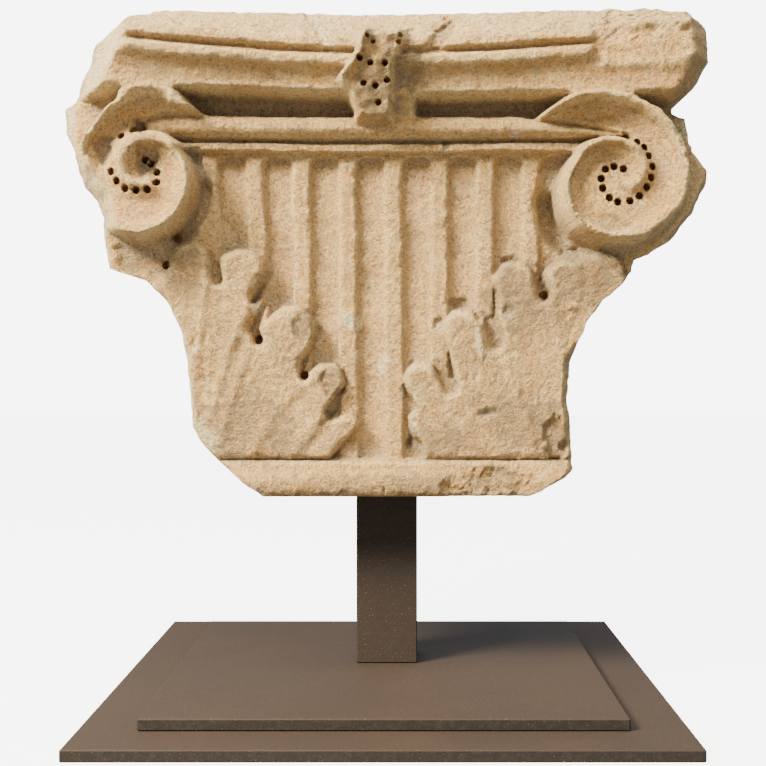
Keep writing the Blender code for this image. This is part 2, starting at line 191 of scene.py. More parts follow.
@dataclass
class Outline:
    """Worn outline of the block: its edge across the face at each height, and its top."""

    height: float = 520.0
    back_depth: float = 100.0
    left: Table = ((0, -138), (12, -156), (34, -181), (54, -203), (76, -216), (115, -218), (150, -221),
                   (186, -229), (216, -243), (237, -265), (250, -305), (276, -311), (308, -314),
                   (326, -321), (340, -333), (357, -341), (383, -346), (404, -357), (425, -362),
                   (433, -352), (456, -342), (473, -334), (491, -330), (501, -319), (510, -288), (520, -268))
    right: Table = ((0, 161), (4, 173), (19, 199), (28, 208), (83, 206), (107, 203), (129, 205),
                    (147, 206), (169, 212), (192, 222), (215, 239), (233, 261), (246, 270), (262, 274),
                    (266, 290), (281, 315), (312, 340), (344, 354), (358, 353), (376, 334), (403, 329),
                    (413, 327), (419, 315), (424, 313), (441, 333), (457, 350), (474, 349), (494, 347),
                    (512, 343), (520, 337))
    top: Table = ((-260, 518), (-220, 520), (-150, 519), (-90, 519), (-43, 515), (60, 517), (150, 520),
                  (269, 520), (310, 518), (340, 514))
    row_places: Table = ((0.0, 0), (0.03, 12), (0.08, 42), (0.60, 368), (0.69, 392), (0.75, 416),
                         (0.785, 429), (0.87, 474), (1.0, 520))
    chip: float = 2.2
    border: float = 0.16
    smoothing: float = 40.0

    def _edge(self, table: Table, h: np.ndarray, seed: int) -> tuple[np.ndarray, np.ndarray]:
        """The edge with its small chips, and the same edge drawn smooth.

        Args:
            table: Left or right edge.
            h: Places up the face.
            seed: Pattern of the chips.

        Returns:
            The two edges.
        """
        shifts = np.linspace(-self.smoothing, self.smoothing, 9)
        smooth = sum(along(table, h + shift) for shift in shifts) / len(shifts)
        inward = -np.sign(table[0][1]) * self.chip
        return along(table, h) + inward * np.abs(unevenness(h, np.zeros_like(h), 9.0, seed)), smooth

    def placed(self, across: np.ndarray, up: np.ndarray) -> tuple[np.ndarray, np.ndarray]:
        """Bends a square sheet of points to the outline, most of it smoothly.

        Args:
            across: Share of the width, from 0 at the left.
            up: Share of the rows, from 0 at the underside.

        Returns:
            Places across and up the face.
        """
        level = along(self.row_places, up) / self.height
        h = level * self.height
        for _ in range(3):
            left, smooth_left = self._edge(self.left, h, 31)
            right, smooth_right = self._edge(self.right, h, 32)
            x = smooth_left + (smooth_right - smooth_left) * across
            x = x + (left - smooth_left) * np.clip(1.0 - across / self.border, 0.0, 1.0) ** 2
            x = x + (right - smooth_right) * np.clip(1.0 - (1.0 - across) / self.border, 0.0, 1.0) ** 2
            crest = along(self.top, x) - np.abs(self.chip * unevenness(x, np.zeros_like(x), 14.0, 33))
            h = level * crest
        return x, h


@dataclass
class Breaks:
    """How the face falls back to the broken edges: height, forward at the edge, fall across."""

    left: Table = ((0, 68, 4.0), (60, 58, 3.0), (170, 62, 3.0), (240, 72, 3.5), (300, 62, 2.6),
                   (325, 60, 2.2), (345, 62, 2.0), (365, 62, 3.0), (380, 60, 3.7), (400, 58, 1.7),
                   (430, 36, 2.0), (496, 34, 2.0), (520, 80, 2.0))
    right: Table = ((0, 62, 3.0), (60, 46, 3.2), (150, 46, 3.2), (175, 78, 4.0), (245, 78, 3.0),
                    (285, 58, 1.9), (335, 58, 3.0), (372, 86, 3.0), (405, 104, 5.0), (420, 70, 5.0),
                    (440, 96, 2.2), (520, 92, 1.8))
    roughness: float = 4.2

    def apply(self, x: np.ndarray, h: np.ndarray, surface: np.ndarray,
              outline: Outline) -> tuple[np.ndarray, np.ndarray]:
        """Breaks the sides away.

        Args:
            x: Places across the face.
            h: Places up the face.
            surface: Carved surface.
            outline: The block's outline.

        Returns:
            The broken surface, and how much of the stone is lost at each place.
        """
        rough = self.roughness * (rubble(x, h, 18.0, 41) + 0.45 * rubble(x, h, 7.0, 43))
        left_in = x - along(outline.left, h)
        right_in = along(outline.right, h) - x
        left_fall = along(self.left, h) + left_in * along(self.left, h, 2) + rough
        right_fall = along(self.right, h) + right_in * along(self.right, h, 2) + rough
        fall = np.minimum(left_fall, right_fall)
        return np.minimum(surface, fall), np.clip(surface - fall, 0.0, 6.0) / 6.0


@dataclass
class Bell:
    """The fluted bell."""

    height: float = 376.0
    foot_forward: float = 65.0
    lip_forward: float = 90.0
    flute_count: int = 8
    flute_pitch: float = 50.0
    flute_width: float = 30.5
    flute_depth: float = 10.0
    first_flute: float = -167.0
    flute_foot: float = 41.5
    head_gap: float = 5.0
    head_round: float = 9.0
    wall: float = 3.0

    def plain(self, h: np.ndarray) -> np.ndarray:
        """The face of the bell without its flutes, leaning forward to its lip."""
        share = np.clip(h / self.height, 0.0, 1.0)
        return self.foot_forward + (self.lip_forward - self.foot_forward) * share ** 2

    def surface(self, x: np.ndarray, h: np.ndarray) -> np.ndarray:
        """Cuts the flutes, hollow in section and rounded at the head.

        Args:
            x: Places across the face.
            h: Places up the face.

        Returns:
            The face of the bell with its flutes.
        """
        face = self.plain(h)
        half = self.flute_width / 2
        over = np.clip(h - (self.height - self.head_gap - self.head_round), 0.0, None)
        for number in range(self.flute_count):
            wander = 1.8 * unevenness(h, np.full_like(h, 7.0 * number), 55.0, 51)
            from_middle = np.abs(x - self.first_flute - number * self.flute_pitch - wander)
            inset = self.head_round - np.hypot(np.clip(from_middle - half + self.head_round, 0.0, None), over)
            step = np.sqrt(1.0 - (1.0 - np.clip(inset / self.wall, 0.0, 1.0)) ** 2)
            bowl = 1.0 - np.clip(from_middle / half, 0.0, 1.0) ** 2
            cut = self.flute_depth * step * (0.75 + 0.25 * bowl)
            face = face - np.where(h < self.flute_foot, 0.0, cut)
        return face


@dataclass
class Leaf:
    """One acanthus leaf: a slab of lobes with rounded edges, parted by drilled slots."""

    lobes: tuple[tuple[Point, Point, float, float, float], ...]
    slots: tuple[tuple[Point, Point, Point, float, float], ...]
    ribs: tuple[tuple[Point, Point, Point], ...]
    base_rise: float = 9.0
    edge: float = 4.5
    merge: float = 5.0
    rib_rise: float = 3.4
    rib_width: float = 7.0
    slot_floor: float = -3.0
    foot: float = 40.5

    def apply(self, x: np.ndarray, h: np.ndarray, surface: np.ndarray, bell: Bell) -> np.ndarray:
        """Lays the leaf over the bell.

        Args:
            x: Places across the face.
            h: Places up the face.
            surface: Surface so far.
            bell: The bell that the leaf lies on.

        Returns:
            The surface with the leaf.
        """
        ground = bell.plain(h)
        inset = np.full_like(x, -100.0)
        rise = np.full_like(x, self.base_rise)
        for root, tip, root_radius, tip_radius, tip_rise in self.lobes:
            distance, share = from_segment(x, h, root, tip)
            own = root_radius + (tip_radius - root_radius) * share - distance
            weight = np.clip(0.5 + 0.5 * (own - inset) / self.merge, 0.0, 1.0)
            rise = rise + (self.base_rise + (tip_rise - self.base_rise) * share ** 1.5 - rise) * weight
            inset = blended_max(inset, own, self.merge)
        inset = np.minimum(inset + 1.2 * unevenness(x, h, 8.0, 55), h - self.foot)
        slotted = inset
        for start, bend, end, start_radius, end_radius in self.slots:
            first, share = from_segment(x, h, start, bend)
            second, rest = from_segment(x, h, bend, end)
            middle_radius = (start_radius + end_radius) / 2
            first = first - start_radius - (middle_radius - start_radius) * share
            second = second - middle_radius - (end_radius - middle_radius) * rest
            slotted = np.minimum(slotted, np.minimum(first, second))
        rounded = np.sqrt(1.0 - (1.0 - np.clip(slotted / self.edge, 0.0, 1.0)) ** 2)
        ribs = np.zeros_like(x)
        for start, middle, end in self.ribs:
            distance = np.minimum(from_segment(x, h, start, middle)[0], from_segment(x, h, middle, end)[0])
            ribs = ribs + self.rib_rise * np.exp(-(distance / self.rib_width) ** 2)
        bed = ground + self.slot_floor
        top = ground + rise + ribs
        return np.where(inset > 0.0, bed + (top - bed) * rounded * (slotted > 0.0), surface)


@dataclass
class Bands:
    """The bands between the volutes, with the deep recess over them."""

    recess_forward: float = 86.0
    profile: Table = ((371.5, 60), (374, 94), (375.5, 101), (383, 102), (385, 94), (387, 93), (389.5, 107),
                      (393, 113), (398, 116.5), (404, 116), (409, 112), (412, 105), (414, 86))
    foot: float = 388.0
    crest: float = 412.0
    ends: Table = ((-268, 22), (-262, 14), (-254, 6), (-240, 1), (-220, 0), (140, 0), (165, 5), (200, 11),
                   (235, 17), (262, 22))

    def apply(self, x: np.ndarray, h: np.ndarray, surface: np.ndarray) -> np.ndarray:
        """Adds the bands, which taper where they run into the volutes, and sinks the recess.

        Args:
            x: Places across the face.
            h: Places up the face.
            surface: Surface so far.

        Returns:
            The surface with bands and recess.
        """
        low, high = self.profile[0][0], self.profile[-1][0]
        surface = np.where(h > high, self.recess_forward, surface)
        room = self.crest - self.foot
        narrowed = np.clip(room - along(self.ends, x), 1.0, None)
        level = np.where(h > self.foot, self.foot + (h - self.foot) * room / narrowed, h)
        on_band = (x > self.ends[0][0]) & (x < self.ends[-1][0]) & (level > low) & (level <= high)
        return np.where(on_band, np.maximum(surface, along(self.profile, level)), surface)

    def cover(self, x: np.ndarray, h: np.ndarray) -> np.ndarray:
        """How far under the band's upper edge a place lies, where the band runs into a volute."""
        return self.crest - along(self.ends, x) - h


@dataclass
class Volute:
    """One volute: a rim that winds in over a dished channel.

    Its radii are given for each eighth of a turn, from a quarter turn before its top.
    """

    centre: Point
    side: int
    radii: tuple[float, ...]
    rim: Table
    holes: tuple[Point, ...]
    crescent: Table
    tail: float
    gap_width: float
    gap_depth: float
    forward: float = 132.0
    dish: float = 8.0
    dish_width: float = 16.0
    sunk_width: float = 9.0
    wall: float = 3.0
    hole_radius: float = 4.6
    hole_depth: float = 15.0
    hole_reach: float = 156.0

    def apply(self, x: np.ndarray, h: np.ndarray, surface: np.ndarray, bands: Bands) -> np.ndarray:
        """Adds the volute.

        Args:
            x: Places across the face.
            h: Places up the face.
            surface: Surface so far.
            bands: The bands that run into the volute.

        Returns:
            The surface with the volute.
        """
        across, up = (x - self.centre[0]) * self.side, h - self.centre[1]
        reach = np.hypot(across, up)
        turned = np.degrees(np.arctan2(across, up)) % 360.0
        signed = np.where(turned > 180.0, turned - 360.0, turned)
        eighths = np.arange(len(self.radii)) * 45.0 - 90.0
        ridge = np.zeros_like(reach)
        nearest = np.full_like(reach, 100.0)
        outer = np.full_like(reach, -100.0)
        for turn in (-360.0, 0.0, 360.0):
            angle = turned + turn
            radius = np.interp(angle, eighths, self.radii)
            half = along(self.rim, angle) / 2
            wound = (angle > self.tail) & (angle < eighths[-1])
            off = np.abs(reach - radius) / half
            profile = np.sqrt(np.clip(1.0 - off ** 2.4, 0.0, 1.0)) * along(self.rim, angle, 2)
            ridge = np.maximum(ridge, np.where(wound, profile, 0.0))
            nearest = np.minimum(nearest, np.where(wound, np.clip(off - 1.0, 0.0, None) * half, 100.0))
            outer = np.maximum(outer, np.where(wound & (angle < 360.0), radius + half - reach, -100.0))
        ring = np.interp(signed + 360.0, eighths, self.radii) + along(self.rim, signed + 360.0) / 2
        sunk = along(self.crescent, signed) * ease(0.0, self.sunk_width, reach - ring)
        level = self.forward - self.dish * ease(0.0, self.dish_width, nearest)
        level = level - sunk * (ridge < 0.5) + ridge
        under_band = ease(-3.0, 3.0, bands.cover(x, h)) * ease(0.0, 4.0, reach - ring)
        under_band = np.where(signed > -100.0, under_band * ease(20.0, 5.0, signed), 0.0)
        inside = ease(0.0, self.wall, outer) * (1.0 - under_band)
        gap = ease(self.gap_width, self.gap_width * 0.55, -outer) * (outer < 0.0)
        gap = gap * ease(-90.0, -105.0, signed) * ease(-168.0, -150.0, signed)
        surface = surface - self.gap_depth * gap
        return np.where(inside > 0.0, surface + (np.maximum(level, surface) - surface) * inside, surface)


@dataclass
class Abacus:
    """The moulded slab on top, which bows forward to its ends, and breaks off at the right."""

    forward: float = 132.0
    bow_left: float = 10.0
    bow_right: float = 6.0
    bow_span: float = 230.0
    line_rise: float = 9.0
    edge_rise: Table = ((-280, 7), (-60, 3.5), (-10, 0), (60, 0), (160, 1.5), (300, 1.5))
    ruined_from: float = 212.0
    profile: Table = ((427, -46), (428.5, -2), (430, 1), (440, 2), (448, 5), (453, 10), (455.5, 12),
                      (457.5, 20), (468, 21), (470, 13), (473, 12), (476, 22), (484, 20), (496, 10),
                      (508, 0), (520, -12))

    def settle(self, x: np.ndarray, h: np.ndarray) -> np.ndarray:
        """Lifts the courses of the slab from level towards its ends.

        Args:
            x: Places across the face.
            h: Places up the face.

        Returns:
            How far each place rises.
        """
        rise = self.line_rise * np.clip(np.abs(x) / self.bow_span, 0.0, 1.2) ** 2
        uneven = 0.9 * unevenness(x, np.zeros_like(x), 50.0, 71)
        upper = ease(440.0, 458.0, h)
        lower = along(self.edge_rise, x) * ease(420.0, 426.0, h) * (1.0 - upper)
        uneven = uneven * ease(366.0, 374.0, h) * ease(520.0, 496.0, h)
        return lower + rise * upper * ease(516.0, 490.0, h) + uneven

    def apply(self, x: np.ndarray, h: np.ndarray, surface: np.ndarray) -> np.ndarray:
        """Adds the slab.

        Args:
            x: Places across the face.
            h: Places up the face.
            surface: Surface so far.

        Returns:
            The surface with the slab.
        """
        bow = np.where(x < 0.0, self.bow_left, self.bow_right)
        bow = bow * np.clip(np.abs(x) / self.bow_span, 0.0, 1.25) ** 2
        courses = along(self.profile, h)
        blunt = 10.0 - 18.0 * ease(486.0, 520.0, h) - 52.0 * ease(428.5, 427.0, h)
        ruined = ease(0.0, 16.0, x - self.ruined_from + 9.0 * unevenness(x, h, 17.0, 72)) * ease(446, 452, h)
        courses = courses + (blunt + 3.5 * rubble(x, h, 20.0, 73) - courses) * ruined
        face = self.forward + bow + courses
        return np.where(h > self.profile[0][0], np.maximum(surface, face), surface)


@dataclass
class Fleuron:
    """The broken flower in the middle of the slab: height, left edge, right edge, forward."""

    rows: Table = ((402, -33, 12, 138), (417, -36, 12, 146), (430, -45, 13, 152), (441, -54, 13, 158),
                   (458, -41, 14, 166), (470, -33, 19, 172), (482, -31, 25, 176), (495, -26, 22, 168))
    ledge_rise: float = 9.0
    ledge_width: float = 6.0
    scar_width: float = 24.0
    scar_drop: float = 26.0
    wall: float = 6.0
    holes: tuple[Point, ...] = ((-26, 460), (-15, 456), (0, 456), (-22, 437), (-10, 435), (2, 440), (-7, 419))
    small_holes: tuple[Point, ...] = ((-18, 481), (-12, 476), (16, 482), (14, 476))
    hole_radius: float = 3.9
    hole_depth: float = 16.0
    hole_reach: float = 195.0
    small_radius: float = 2.6
    small_depth: float = 8.0
    small_reach: float = 205.0

    def apply(self, x: np.ndarray, h: np.ndarray, surface: np.ndarray) -> np.ndarray:
        """Adds the flower, its lit ledge at the left and the scar at its right.

        Args:
            x: Places across the face.
            h: Places up the face.
            surface: Surface so far.

        Returns:
            The surface with the flower.
        """
        left, right, forward = (along(self.rows, h, column) for column in (1, 2, 3))
        low, high = self.rows[0][0], self.rows[-1][0]
        level = np.minimum(h - low, high - h)
        scar = np.minimum(level, np.minimum(x - left, right + self.scar_width - x))
        rough = forward - self.scar_drop + 3.0 * rubble(x, h, 13.0, 75)
        share = ease(0.0, self.wall, scar)
        surface = np.where(scar > 0.0, surface + np.maximum(rough - surface, 0.0) * share, surface)
        inward = np.minimum(level, np.minimum(x - left, right - x))
        ledge = np.exp(-((x - left - self.ledge_width) / self.ledge_width) ** 2)
        ledge = self.ledge_rise * ledge * ease(428.0, 440.0, h)
        lumps = 2.5 * unevenness(x, h, 9.0, 76)
        share = ease(0.0, self.wall, inward)
        face = surface + np.maximum(forward + ledge + lumps - surface, 0.0) * share
        return np.where(inward > 0.0, face, surface)


@dataclass
class Roll:
    """The half-round roll at the foot, with the small fillet over it; each end is broken."""

    height: float = 34.0
    widest: float = 12.0
    low_half: float = 17.0
    out: float = 22.0
    fillet: float = 5.0
    fillet_out: float = 12.0
    lost: Table = ((-175, 9), (-160, 7), (-152, 0), (60, 0), (72, 8), (120, 11), (150, 8), (170, 3), (200, 7))

    def apply(self, x: np.ndarray, h: np.ndarray, surface: np.ndarray, bell: Bell) -> np.ndarray:
        """Adds the roll and breaks part of it away.

        Args:
            x: Places across the face.
            h: Places up the face.
            surface: Surface so far.
            bell: The bell over the roll.

        Returns:
            The surface with the roll.
        """
        half = np.where(h < self.widest, self.low_half, self.height - self.widest)
        swell = np.sqrt(np.clip(1.0 - ((h - self.widest) / half) ** 2, 0.0, 1.0))
        lost = along(self.lost, x + 5.0 * unevenness(x, h, 12.0, 82)) * (0.8 + 0.5 * rubble(x, h, 15.0, 81))
        roll = bell.foot_forward + self.out * swell - lost * swell
        surface = np.where(h < self.height, roll, surface)
        on_fillet = (h >= self.widest) & (h < self.height + self.fillet)
        fillet = bell.foot_forward + self.fillet_out - lost * 0.4
        return np.where(on_fillet, np.maximum(surface, fillet), surface)


class Tone(Enum):
    """What colour a place on the stone shows; some tones hold painted shade or painted highlight."""

    # Pale chips and breaks; on the left breaks and the broken top partly painted highlight.
    CREAM = "cream"
    # Grey broken, weathered stone, and painted shade on flat patches, the right-hand breaks and the roll's
    # foot.
    GREY = "grey"
    # Painted shade: a greyer tint in recesses and deep chips.
    DARK = "hollow"
    PINK = "flute"
    UMBER = "leaf"


@dataclass(frozen=True)
class Scar:
    """One chip, broken patch or flat patch of painted shade: place, half width, half height, lean, depth and
    tone.
    """

    place: Point
    reach: Point
    lean: float
    depth: float
    tone: Tone

    def share(self, x: np.ndarray, h: np.ndarray) -> np.ndarray:
        """Spreads the scar over the face, with a ragged edge.

        Args:
            x: Places across the face.
            h: Places up the face.

        Returns:
            How much of the scar each place has, 1 in its middle.
        """
        lean = radians(self.lean)
        across, up = x - self.place[0], h - self.place[1]
        along_reach = (across * np.cos(lean) - up * np.sin(lean)) / self.reach[0]
        up_reach = (across * np.sin(lean) + up * np.cos(lean)) / self.reach[1]
        ragged = 0.35 * unevenness(x, h, 7.0, 91) + 0.15 * unevenness(x, h, 3.5, 92)
        return ease(1.15, 0.8, np.hypot(along_reach, up_reach) + ragged)


# Chips and patches by tone. The cream ones are pale chips and patches. Grey ones cut deeper than 1 are
# broken, weathered stone. The flat grey ones (depth 0 to 1) are mostly painted shade: over the right leaf's
# top, the leaf slots, the lower leaves and the roll's foot, and on the fleuron's face together with
# weathering.
SCAR_ROWS = {
    Tone.CREAM: (((-214, 287), (9, 6), 0, 4.0), ((-240, 246), (8, 4), 0, 1.5),
        ((-41, 192), (14, 9), 20, -3.5), ((-32, 153), (3.5, 4), 0, 1.0), ((-142, 205), (6, 9), 10, -1.5),
        ((103, 169), (4, 20), -8, -2.0), ((59, 188), (7, 8), 0, 3.0), ((36, 145), (11, 3.5), 0, 2.5),
        ((18, 115), (3.5, 8), 0, 2.0), ((111, 92), (10, 4), -10, 4.0), ((30, 72), (6, 10), 0, 1.5),
        ((-2, 147), (8, 12), 0, -0.8), ((133, 202), (9, 6), -20, 2.5), ((254, 285), (5, 4), 0, -1.0),
        ((310, 300), (8, 9), 0, 2.0), ((-211, 367), (14, 8), -30, 4.0), ((-40, 362), (5, 2.5), 0, -1.5),
        ((139, 390), (5, 4), 0, 1.5), ((66, 380), (3.5, 8), 0, 4.0), ((-210, 167), (4, 7), 0, 2.0),
        ((-70, 500), (36, 7), 62, 5.0), ((318, 400), (14, 22), 0, 3.0), ((214, 268), (20, 6), 10, 4.0),
        ((-210, 60), (30, 24), 40, 0.0)),
    Tone.GREY: (((-88, 186), (13, 20), -24, 2.4), ((-57, 128), (14, 17), 20, 4.0),
        ((-138, 236), (6, 18), 38, 2.5), ((80, 212), (13, 6), -6, 4.0), ((139, 260), (16, 4.5), 0, 4.0),
        ((190, 63), (14, 26), 0, 6.0), ((236, 295), (24, 10), 8, 1.0), ((-276, 262), (24, 17), 0, 3.0),
        ((-300, 374), (10, 13), 0, 5.0), ((-253, 362), (12, 16), 35, 6.0), ((64, 136), (9, 19), -27, 0.0),
        ((115, 188), (8, 20), -14, 0.0), ((120, 18), (34, 13), 0, 3.0), ((60, 492), (18, 8), -60, 6.0),
        ((26, 452), (13, 20), 0, 1.0), ((216, 238), (44, 34), 20, 1.0), ((150, 222), (42, 44), 0, 0.0),
        ((-8, 446), (24, 40), 0, 0.5), ((-222, 248), (26, 26), 0, 0.0), ((-150, 80), (50, 40), 30, 0.0),
        ((60, 60), (38, 20), 0, 0.0), ((150, 84), (40, 30), 0, 0.0), ((-10, 12), (130, 12), 0, 0.0)),
    # Deep chips, tinted with painted shade like the recesses.
    Tone.DARK: (((25, 56), (4, 6), 0, 8.0), ((197, 54), (6, 5), 0, 6.0), ((-262, 399), (11, 4), 62, 13.0),
        ((-2, 8), (1.2, 5), 0, 3.0)),
}
SCARS = tuple(Scar(*row, tone) for tone, rows in SCAR_ROWS.items() for row in rows)


class Socket:
    """A shader socket on which Python's arithmetic signs add nodes."""

    def __init__(self, paint: "Paint", socket: bpy.types.NodeSocket) -> None:
        """Wraps a socket.

        Args:
            paint: The material's node builder.
            socket: An output socket.
        """
        self.paint = paint
        self.socket = socket

    def _math(self, operation: str, *values: "Socket | float") -> "Socket":
        """Adds a Math node on the values given."""
        return self.paint.node("ShaderNodeMath", {"operation": operation}, dict(enumerate(values)))

    def __add__(self, other: "Socket | float") -> "Socket":
        """Adds."""
        return self._math("ADD", self, other)

    __radd__ = __add__

    def __mul__(self, other: "Socket | float") -> "Socket":
        """Multiplies."""
        return self._math("MULTIPLY", self, other)

    __rmul__ = __mul__

    def __sub__(self, other: "Socket | float") -> "Socket":
        """Takes a value away."""
        return self._math("SUBTRACT", self, other)

    def __rsub__(self, other: float) -> "Socket":
        """Is taken away from a value."""
        return self._math("SUBTRACT", other, self)

    def clear(self) -> "Socket":
        """Keeps the value between 0 and 1."""
        return self.paint.node("ShaderNodeClamp", {}, {"Value": self})

    def over(self, low: float, high: float) -> "Socket":
        """Rises smoothly from 0 at low to 1 at high.

        Args:
            low: Value that gives 0.
            high: Value that gives 1.

        Returns:
            The share between 0 and 1.
        """
        settings = {"interpolation_type": "SMOOTHSTEP"}
        return self.paint.node("ShaderNodeMapRange", settings, {0: self, 1: low, 2: high, 3: 0.0, 4: 1.0})


class Paint:
    """Builds the nodes of one material or world."""

    def __init__(self, holder: "bpy.types.Material | bpy.types.World") -> None:
        """Turns on the nodes.

        Args:
            holder: The new material or world.
        """
        self.holder = holder
        self.holder.use_nodes = True
        self.tree = self.holder.node_tree

    @cached_property
    def place(self) -> Socket:
        """The piece's own coordinates."""
        return self.node("ShaderNodeTexCoord", {}, {}, "Object")

    def node(self, kind: str, settings: dict, values: dict, output: "str | int" = 0) -> Socket:
        """Adds a node.

        Args:
            kind: The node's type.
            settings: The node's own settings, set first.
            values: Values or links of its sockets, by name or number.
            output: Which output is wanted.

        Returns:
            The output, wrapped.
        """
        node = self.tree.nodes.new(kind)
        for name, value in settings.items():
            setattr(node, name, value)
        for name, value in values.items():
            if isinstance(value, Socket):
                self.tree.links.new(value.socket, node.inputs[name])
            else:
                node.inputs[name].default_value = value
        return Socket(self, node.outputs[output])

    def noise(self, scale: float, detail: float = 4.0, roughness: float = 0.55,
              distortion: float = 0.0) -> Socket:
        """A noise pattern on the piece's own coordinates.

        Args:
            scale: Bumps per metre, about.
            detail: Octaves.
            roughness: Weight of the finer octaves.
            distortion: How far the pattern is bent.

        Returns:
            Values around 0.5.
        """
        return self.node("ShaderNodeTexNoise", {}, {
            "Vector": self.place, "Scale": scale, "Detail": detail, "Roughness": roughness,
            "Distortion": distortion})

    def mixed(self, share: "Socket | float", first: "Socket | tuple", second: "Socket | tuple") -> Socket:
        """Mixes two colours.

        Args:
            share: How much of the second colour shows.
            first: One colour.
            second: The other colour.

        Returns:
            The mixed colour.
        """
        colours = [(*c, 1.0) if isinstance(c, tuple) and len(c) == 3 else c for c in (first, second)]
        values = {0: share, 6: colours[0], 7: colours[1]}
        return self.node("ShaderNodeMix", {"data_type": "RGBA"}, values, 2)

    def kept(self, name: str) -> Socket:
        """Reads a value that the mesh keeps at each point."""
        return self.node("ShaderNodeAttribute", {"attribute_name": name}, {}, "Fac")

    def finish(self, colour: Socket, roughness: "Socket | float", height: Socket, depth: float,
               metallic: float = 0.0) -> bpy.types.Material:
        """Joins the parts of the finish to the shader.

        Args:
            colour: The surface's colour.
            roughness: The surface's roughness.
            height: Height of the fine relief.
            depth: Metres that a height of 1 stands for.
            metallic: The shader's metallic value.

        Returns:
            The material.
        """
        shader = self.tree.nodes["Principled BSDF"]
        bump = self.node("ShaderNodeBump", {}, {"Strength": 1.0, "Distance": depth, "Height": height})
        self.tree.links.new(colour.socket, shader.inputs["Base Color"])
        self.tree.links.new(bump.socket, shader.inputs["Normal"])
        if isinstance(roughness, Socket):
            self.tree.links.new(roughness.socket, shader.inputs["Roughness"])
        else:
            shader.inputs["Roughness"].default_value = roughness
        shader.inputs["Metallic"].default_value = metallic
        return self.holder


@dataclass(frozen=True)
class StoneFinish:
    """Ochre sandstone with cream breaks, pinkish flutes, brown leaves and a coarse sandy grain; painted shade
    tints its recesses and greys some patches and its right-hand breaks, and painted highlight brightens its
    left breaks and broken top.
    """

    name: str = "worn sandstone"
    ochre: Triple = (0.73, 0.385, 0.115)
    honey: Triple = (0.77, 0.385, 0.08)
    pink: Triple = (0.73, 0.405, 0.16)
    umber: Triple = (0.38, 0.205, 0.07)
    cream: Triple = (0.96, 0.70, 0.33)
    chalk: Triple = (1.0, 0.85, 0.58)
    grey: Triple = (0.22, 0.15, 0.085)
    # Painted shade tint for recesses and deep chips.
    hollow_shade_tint: Triple = (0.52, 0.39, 0.265)
    shade: Triple = (0.24, 0.175, 0.115)

    def material(self) -> bpy.types.Material:
        """Builds the finish.

        Returns:
            The material.
        """
        paint = Paint(bpy.data.materials.new(self.name))
        cream, grey, hollow, flute, leaf = (paint.kept(tone.value) for tone in Tone)
        pale_ridge = paint.kept("edge")
        broad, patch, cloud = paint.noise(5.5), paint.noise(16.0, 5.0), paint.noise(60.0, 6.0, 0.65)
        speck, grain = paint.noise(300.0, 4.0, 0.75), paint.noise(620.0, 3.0, 0.7)
        crumb = paint.noise(150.0, 5.0, 0.7)
        colour = paint.mixed(broad.over(0.42, 0.60) * 0.6, self.ochre, self.pink)
        colour = paint.mixed((flute * 0.75).clear(), colour, self.pink)
        colour = paint.mixed(patch.over(0.50, 0.66) * (0.8 - 0.6 * flute), colour, self.honey)
        colour = paint.mixed(leaf * patch.over(0.32, 0.60) * 0.6, colour, self.umber)
        colour = paint.mixed(cloud.over(0.50, 0.62) * 0.55, colour, self.cream)
        colour = paint.mixed(paint.noise(14.0, 6.0, 0.6, 0.4).over(0.54, 0.68) * 0.5, colour, self.grey)
        # Chalk on pale places: pale broken stone, brightened as painted highlight on the left breaks and the
        # broken top.
        colour = paint.mixed(cream * cloud.over(0.30, 0.50) * 0.9, colour, self.chalk)
        # Lighter cream along raised edges, where the edge mask is high.
        colour = paint.mixed((pale_ridge * patch.over(0.30, 0.55)).clear(), colour, self.cream)
        # Grey on broken, weathered patches; on the flat patches, the right-hand breaks and the roll's foot it
        # is painted shade.
        colour = paint.mixed(grey * cloud.over(0.26, 0.60) * 0.7, colour, self.grey)
        # Painted shade: recesses and deep chips take a greyer tint, the colour of shade there.
        colour = paint.mixed((hollow * 0.75).clear(), colour, self.hollow_shade_tint)
        colour = paint.mixed(crumb.over(0.52, 0.66) * 0.5, colour, self.grey)
        colour = paint.mixed(speck.over(0.46, 0.60) * 0.6, colour, self.shade)
        colour = paint.mixed((1.0 - grain).over(0.47, 0.58) * (0.5 - 0.2 * grey), colour, self.cream)
        relief = (1.0 - crumb) * 1.6 + (1.0 - speck) * 0.7 + (1.0 - grain) * 0.3
        return paint.finish(colour, 0.92, relief, 0.0075)


@dataclass(frozen=True)
class SteelFinish:
    """Steel left to rust to an even dark brown, darker on its upright faces, with fine light specks."""

    name: str
    brown: Triple
    upright: Triple
    orange: Triple
    dark: Triple = (0.016, 0.011, 0.009)
    fleck: Triple = (0.22, 0.17, 0.14)

    def material(self) -> bpy.types.Material:
        """Builds the finish.

        Returns:
            The material.
        """
        paint = Paint(bpy.data.materials.new(self.name))
        cloud, mottle = paint.noise(7.0, 5.0, 0.6), paint.noise(120.0, 5.0, 0.7)
        fine = paint.noise(600.0, 3.0)
        normal = paint.node("ShaderNodeNewGeometry", {}, {}, "Normal")
        flat = paint.node("ShaderNodeSeparateXYZ", {}, {0: normal}, "Z").over(0.4, 0.8)
        worn = paint.mixed(cloud.over(0.40, 0.66) * 0.6, self.brown, self.orange)
        # Upright faces take the upright brown and more dark mottling; faces turned up take the rust colours.
        colour = paint.mixed(flat, self.upright, worn)
        colour = paint.mixed(mottle.over(0.45, 0.62) * (0.85 - 0.6 * flat), colour, self.dark)
        colour = paint.mixed(fine.over(0.64, 0.72) * (0.55 - 0.3 * flat), colour, self.fleck)
        relief = mottle * 0.6 + fine * 0.6
        return paint.finish(colour, 0.7 + 0.2 * cloud, relief, 0.0005, 0.05)


